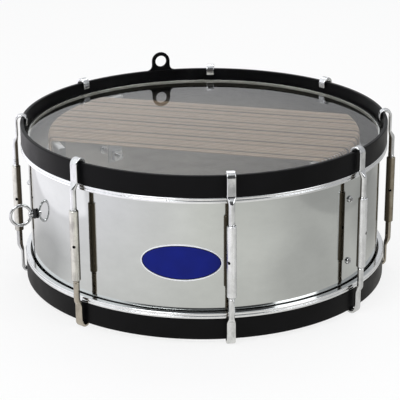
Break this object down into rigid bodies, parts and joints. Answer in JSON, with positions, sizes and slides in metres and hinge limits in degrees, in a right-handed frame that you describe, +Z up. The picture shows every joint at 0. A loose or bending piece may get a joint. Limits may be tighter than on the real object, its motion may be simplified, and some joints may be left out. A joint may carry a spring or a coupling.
{
  "type": "snare drum",
  "caption": "Shallow polished metal drum with clear heads, flat black counterhoops, claw hooks on turnbuckle tubes, a laced cord snare and its strainer.",
  "frame": {"origin": "on the drum's axis, in the plane of the bottom claws' lowest faces, which it stands on", "axes": "+Z up along the drum's axis, out of the playing head; -Y towards the viewer of the picture; +X to the viewer's right"},
  "size_m": [0.3958, 0.3941, 0.1877],
  "materials": {
    "shell_steel": "mirror polished sheet",
    "clear_film": "clear film",
    "black_enamel": "satin black enamel",
    "chrome": "bright plating",
    "zinc_plate": "satin zinc plating",
    "snare_cord": "twisted cord",
    "sheet_steel": "folded sheet",
    "black_rubber": "matt"
  },
  "bodies": {
    "drum_body": {"shell": "shell_steel", "top_head": "clear_film", "bottom_head": "clear_film", "top_flesh_ring": "chrome", "bottom_flesh_ring": "chrome", "top_hoop": "black_enamel", "bottom_hoop": "black_enamel", "sling_eye": "black_enamel", "snare_cord": "snare_cord", "butt_bridge": "sheet_steel", "butt_clamp_plate": "sheet_steel", "butt_clamp_screw_front": "sheet_steel", "butt_clamp_screw_back": "sheet_steel", "butt_bracket_front": "sheet_steel", "butt_bracket_back": "sheet_steel", "butt_screw_front_low": "chrome", "butt_screw_front_high": "chrome", "butt_screw_back_low": "chrome", "butt_screw_back_high": "chrome", "grip_washer_front": "black_rubber", "grip_washer_middle": "black_rubber", "grip_washer_back": "black_rubber", "retaining_clip_front": "chrome", "retaining_clip_middle": "chrome", "retaining_clip_back": "chrome"},
    "tube_right": {"tube_right": "zinc_plate"},
    "top_hook_right": {"top_hook_right": "chrome"},
    "bottom_hook_right": {"bottom_hook_right": "chrome"},
    "tube_back_right": {"tube_back_right": "zinc_plate"},
    "top_hook_back_right": {"top_hook_back_right": "chrome"},
    "bottom_hook_back_right": {"bottom_hook_back_right": "chrome"},
    "tube_back": {"tube_back": "zinc_plate"},
    "top_hook_back": {"top_hook_back": "chrome"},
    "bottom_hook_back": {"bottom_hook_back": "chrome"},
    "tube_back_left": {"tube_back_left": "zinc_plate"},
    "top_hook_back_left": {"top_hook_back_left": "chrome"},
    "bottom_hook_back_left": {"bottom_hook_back_left": "chrome"},
    "tube_left": {"tube_left": "zinc_plate"},
    "top_hook_left": {"top_hook_left": "chrome"},
    "bottom_hook_left": {"bottom_hook_left": "chrome"},
    "tube_front_left": {"tube_front_left": "zinc_plate"},
    "top_hook_front_left": {"top_hook_front_left": "chrome"},
    "bottom_hook_front_left": {"bottom_hook_front_left": "chrome"},
    "tube_front": {"tube_front": "zinc_plate"},
    "top_hook_front": {"top_hook_front": "chrome"},
    "bottom_hook_front": {"bottom_hook_front": "chrome"},
    "tube_front_right": {"tube_front_right": "zinc_plate"},
    "top_hook_front_right": {"top_hook_front_right": "chrome"},
    "bottom_hook_front_right": {"bottom_hook_front_right": "chrome"},
    "ring_screw_front": {"ring_screw_front": "chrome"},
    "ring_screw_back": {"ring_screw_back": "chrome"},
    "wing_screw": {"wing_screw": "chrome"},
    "draw_nut_front": {"draw_nut_front": "chrome"},
    "draw_nut_middle": {"draw_nut_middle": "chrome"},
    "draw_nut_back": {"draw_nut_back": "chrome"},
    "strainer": {"strainer_bridge": "sheet_steel", "strainer_clamp_plate": "sheet_steel", "strainer_clamp_screw_front": "sheet_steel", "strainer_clamp_screw_back": "sheet_steel"}
  },
  "joints": [
    {"name": "tube_right_turn", "type": "hinge", "parent": "drum_body", "child": "tube_right", "pos_m": [0.1934, 0.00608, 0.08419], "axis": [0, 0, 1], "range_deg": [0, 3240]},
    {"name": "top_hook_right_lift", "type": "slide", "parent": "drum_body", "child": "top_hook_right", "axis": [0, 0, 1], "range_m": [0, 0.0091]},
    {"name": "bottom_hook_right_drop", "type": "slide", "parent": "drum_body", "child": "bottom_hook_right", "axis": [0, 0, -1], "range_m": [0, 0.0091]},
    {"name": "tube_back_right_turn", "type": "hinge", "parent": "drum_body", "child": "tube_back_right", "pos_m": [0.13966, 0.13393, 0.08579], "axis": [0, 0, 1], "range_deg": [0, 3240]},
    {"name": "top_hook_back_right_lift", "type": "slide", "parent": "drum_body", "child": "top_hook_back_right", "axis": [0, 0, 1], "range_m": [0, 0.0091]},
    {"name": "bottom_hook_back_right_drop", "type": "slide", "parent": "drum_body", "child": "bottom_hook_back_right", "axis": [0, 0, -1], "range_m": [0, 0.0091]},
    {"name": "tube_back_turn", "type": "hinge", "parent": "drum_body", "child": "tube_back", "pos_m": [0.0081, 0.19333, 0.08579], "axis": [0, 0, 1], "range_deg": [0, 3240]},
    {"name": "top_hook_back_lift", "type": "slide", "parent": "drum_body", "child": "top_hook_back", "axis": [0, 0, 1], "range_m": [0, 0.0091]},
    {"name": "bottom_hook_back_drop", "type": "slide", "parent": "drum_body", "child": "bottom_hook_back", "axis": [0, 0, -1], "range_m": [0, 0.0091]},
    {"name": "tube_back_left_turn", "type": "hinge", "parent": "drum_body", "child": "tube_back_left", "pos_m": [-0.13849, 0.13514, 0.08579], "axis": [0, 0, 1], "range_deg": [0, 3240]},
    {"name": "top_hook_back_left_lift", "type": "slide", "parent": "drum_body", "child": "top_hook_back_left", "axis": [0, 0, 1], "range_m": [0, 0.0091]},
    {"name": "bottom_hook_back_left_drop", "type": "slide", "parent": "drum_body", "child": "bottom_hook_back_left", "axis": [0, 0, -1], "range_m": [0, 0.0091]},
    {"name": "tube_left_turn", "type": "hinge", "parent": "drum_body", "child": "tube_left", "pos_m": [-0.19342, -0.0054, 0.08099], "axis": [0, 0, 1], "range_deg": [0, 3240]},
    {"name": "top_hook_left_lift", "type": "slide", "parent": "drum_body", "child": "top_hook_left", "axis": [0, 0, 1], "range_m": [0, 0.0091]},
    {"name": "bottom_hook_left_drop", "type": "slide", "parent": "drum_body", "child": "bottom_hook_left", "axis": [0, 0, -1], "range_m": [0, 0.0091]},
    {"name": "tube_front_left_turn", "type": "hinge", "parent": "drum_body", "child": "tube_front_left", "pos_m": [-0.1223, -0.14995, 0.08579], "axis": [0, 0, 1], "range_deg": [0, 3240]},
    {"name": "top_hook_front_left_lift", "type": "slide", "parent": "drum_body", "child": "top_hook_front_left", "axis": [0, 0, 1], "range_m": [0, 0.0091]},
    {"name": "bottom_hook_front_left_drop", "type": "slide", "parent": "drum_body", "child": "bottom_hook_front_left", "axis": [0, 0, -1], "range_m": [0, 0.0091]},
    {"name": "tube_front_turn", "type": "hinge", "parent": "drum_body", "child": "tube_front", "pos_m": [0.02492, -0.19189, 0.08579], "axis": [0, 0, 1], "range_deg": [0, 3240]},
    {"name": "top_hook_front_lift", "type": "slide", "parent": "drum_body", "child": "top_hook_front", "axis": [0, 0, 1], "range_m": [0, 0.0091]},
    {"name": "bottom_hook_front_drop", "type": "slide", "parent": "drum_body", "child": "bottom_hook_front", "axis": [0, 0, -1], "range_m": [0, 0.0091]},
    {"name": "tube_front_right_turn", "type": "hinge", "parent": "drum_body", "child": "tube_front_right", "pos_m": [0.15143, -0.12046, 0.08579], "axis": [0, 0, 1], "range_deg": [0, 3240]},
    {"name": "top_hook_front_right_lift", "type": "slide", "parent": "drum_body", "child": "top_hook_front_right", "axis": [0, 0, 1], "range_m": [0, 0.0091]},
    {"name": "bottom_hook_front_right_drop", "type": "slide", "parent": "drum_body", "child": "bottom_hook_front_right", "axis": [0, 0, -1], "range_m": [0, 0.0091]},
    {"name": "ring_screw_front_turn", "type": "hinge", "parent": "drum_body", "child": "ring_screw_front", "pos_m": [-0.16827, -0.06392, 0.08579], "axis": [-0.9348, -0.3551, 0], "range_deg": [0, 1810]},
    {"name": "ring_screw_back_turn", "type": "hinge", "parent": "drum_body", "child": "ring_screw_back", "pos_m": [-0.11474, 0.13869, 0.08579], "axis": [-0.6374, 0.7705, 0], "range_deg": [0, 1810]},
    {"name": "wing_screw_turn", "type": "hinge", "parent": "drum_body", "child": "wing_screw", "pos_m": [-0.17403, 0.04598, 0.08579], "axis": [-0.9668, 0.2554, 0], "range_deg": [0, 2226]},
    {"name": "draw_nut_front_slide", "type": "slide", "parent": "drum_body", "child": "draw_nut_front", "axis": [0.9348, 0.3551, 0], "range_m": [0, 0.00405]},
    {"name": "draw_nut_middle_slide", "type": "slide", "parent": "drum_body", "child": "draw_nut_middle", "axis": [0.9668, -0.2554, 0], "range_m": [0, 0.00498]},
    {"name": "draw_nut_back_slide", "type": "slide", "parent": "drum_body", "child": "draw_nut_back", "axis": [0.6374, -0.7705, 0], "range_m": [0, 0.00405]},
    {"name": "strainer_slide", "type": "slide", "parent": "drum_body", "child": "strainer", "axis": [0.9668, -0.2554, 0], "range_m": [0, 0.00492], "deforming": ["snare_cord"]}
  ],
  "couplings": [
    {"joint": "top_hook_right_lift", "follows": "tube_right_turn", "m_per_rad": 0.00015915},
    {"joint": "bottom_hook_right_drop", "follows": "tube_right_turn", "m_per_rad": 0.00015915},
    {"joint": "top_hook_back_right_lift", "follows": "tube_back_right_turn", "m_per_rad": 0.00015915},
    {"joint": "bottom_hook_back_right_drop", "follows": "tube_back_right_turn", "m_per_rad": 0.00015915},
    {"joint": "top_hook_back_lift", "follows": "tube_back_turn", "m_per_rad": 0.00015915},
    {"joint": "bottom_hook_back_drop", "follows": "tube_back_turn", "m_per_rad": 0.00015915},
    {"joint": "top_hook_back_left_lift", "follows": "tube_back_left_turn", "m_per_rad": 0.00015915},
    {"joint": "bottom_hook_back_left_drop", "follows": "tube_back_left_turn", "m_per_rad": 0.00015915},
    {"joint": "top_hook_left_lift", "follows": "tube_left_turn", "m_per_rad": 0.00015915},
    {"joint": "bottom_hook_left_drop", "follows": "tube_left_turn", "m_per_rad": 0.00015915},
    {"joint": "top_hook_front_left_lift", "follows": "tube_front_left_turn", "m_per_rad": 0.00015915},
    {"joint": "bottom_hook_front_left_drop", "follows": "tube_front_left_turn", "m_per_rad": 0.00015915},
    {"joint": "top_hook_front_lift", "follows": "tube_front_turn", "m_per_rad": 0.00015915},
    {"joint": "bottom_hook_front_drop", "follows": "tube_front_turn", "m_per_rad": 0.00015915},
    {"joint": "top_hook_front_right_lift", "follows": "tube_front_right_turn", "m_per_rad": 0.00015915},
    {"joint": "bottom_hook_front_right_drop", "follows": "tube_front_right_turn", "m_per_rad": 0.00015915},
    {"joint": "ring_screw_front_turn", "follows": "strainer_slide", "rad_per_m": 6386.1},
    {"joint": "ring_screw_back_turn", "follows": "strainer_slide", "rad_per_m": 6386.1},
    {"joint": "wing_screw_turn", "follows": "strainer_slide", "rad_per_m": 7854},
    {"joint": "draw_nut_front_slide", "follows": "strainer_slide", "ratio": 0.8131},
    {"joint": "draw_nut_middle_slide", "follows": "strainer_slide", "ratio": 1},
    {"joint": "draw_nut_back_slide", "follows": "strainer_slide", "ratio": 0.8131}
  ]
}
